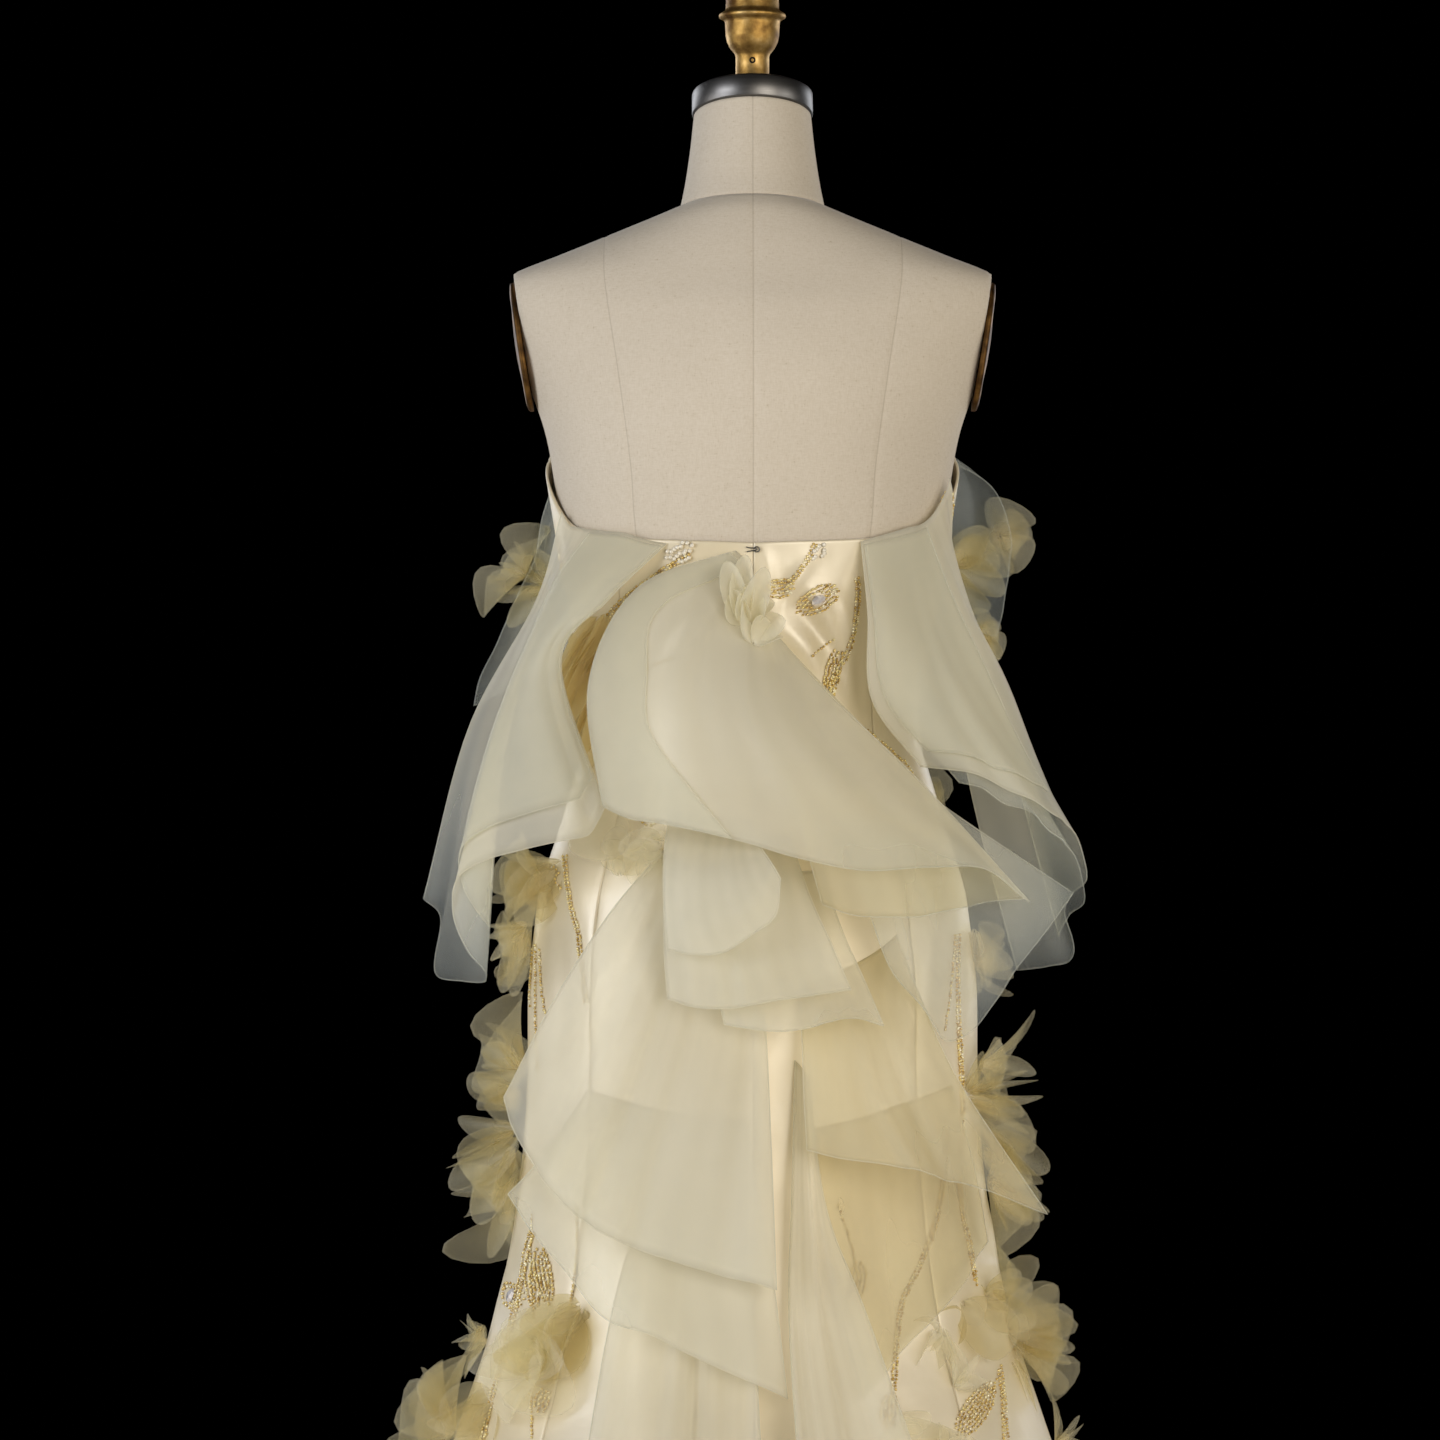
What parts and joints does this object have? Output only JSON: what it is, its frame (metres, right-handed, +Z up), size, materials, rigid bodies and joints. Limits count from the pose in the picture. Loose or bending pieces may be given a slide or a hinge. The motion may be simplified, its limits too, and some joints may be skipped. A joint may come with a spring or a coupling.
{
  "type": "mermaid dress on dress form",
  "caption": "Strapless fitted satin gown flaring to a floor-length fluted hem, with an organza cascade down the back and organza flowers, on a limbless dress form with a round stand.",
  "frame": {"origin": "centre of the underside of the stand's base, on the floor", "axes": "+Z up through the neck; the gown's front faces -Y and its back, with the cascade, faces +Y; the wearer's right is -X"},
  "size_m": [1.0452, 1.0367, 1.6395],
  "materials": {
    "satin": "lustrous duchesse satin",
    "organza": "sheer crisp organza",
    "petal": "sheer organza petals",
    "zip_tape": "woven tape",
    "linen": "plain-woven linen cover",
    "gilt": "antique gold",
    "steel": "brushed"
  },
  "bodies": {
    "root": {"arm_plate_left": "gilt", "arm_plate_right": "gilt", "centre_ruffle": "organza", "centre_ruffle_under": "organza", "finial": "gilt", "flower_01": "petal", "flower_02": "petal", "flower_03": "petal", "flower_04": "petal", "flower_05": "petal", "flower_06": "petal", "flower_07": "petal", "flower_08": "petal", "flower_09": "petal", "flower_10": "petal", "flower_11": "petal", "flower_12": "petal", "flower_13": "petal", "flower_14": "petal", "flower_15": "petal", "flower_16": "petal", "flower_17": "petal", "flower_18": "petal", "flower_19": "petal", "flower_20": "petal", "flower_21": "petal", "flower_22": "petal", "flower_23": "petal", "flower_24": "petal", "flower_25": "petal", "flower_26": "petal", "flower_27": "petal", "form_neck": "linen", "form_torso": "linen", "gown_back_left": "satin", "gown_back_right": "satin", "gown_front": "satin", "gown_side_back_left": "satin", "gown_side_back_right": "satin", "gown_side_front_left": "satin", "gown_side_front_right": "satin", "loop_left": "organza", "loop_right": "organza", "neck_cap": "steel", "stand_base": "gilt", "stand_pole": "gilt", "swirl": "organza", "swirl_curl": "organza", "swirl_under": "organza", "tier_left": "organza", "tier_left_under": "organza", "tier_right": "organza", "tier_right_under": "organza", "train_left": "organza", "train_right": "organza", "veil_right": "organza", "wing_left": "organza", "wing_right": "organza", "wing_right_under": "organza", "zip": "zip_tape"}
  },
  "joints": []
}
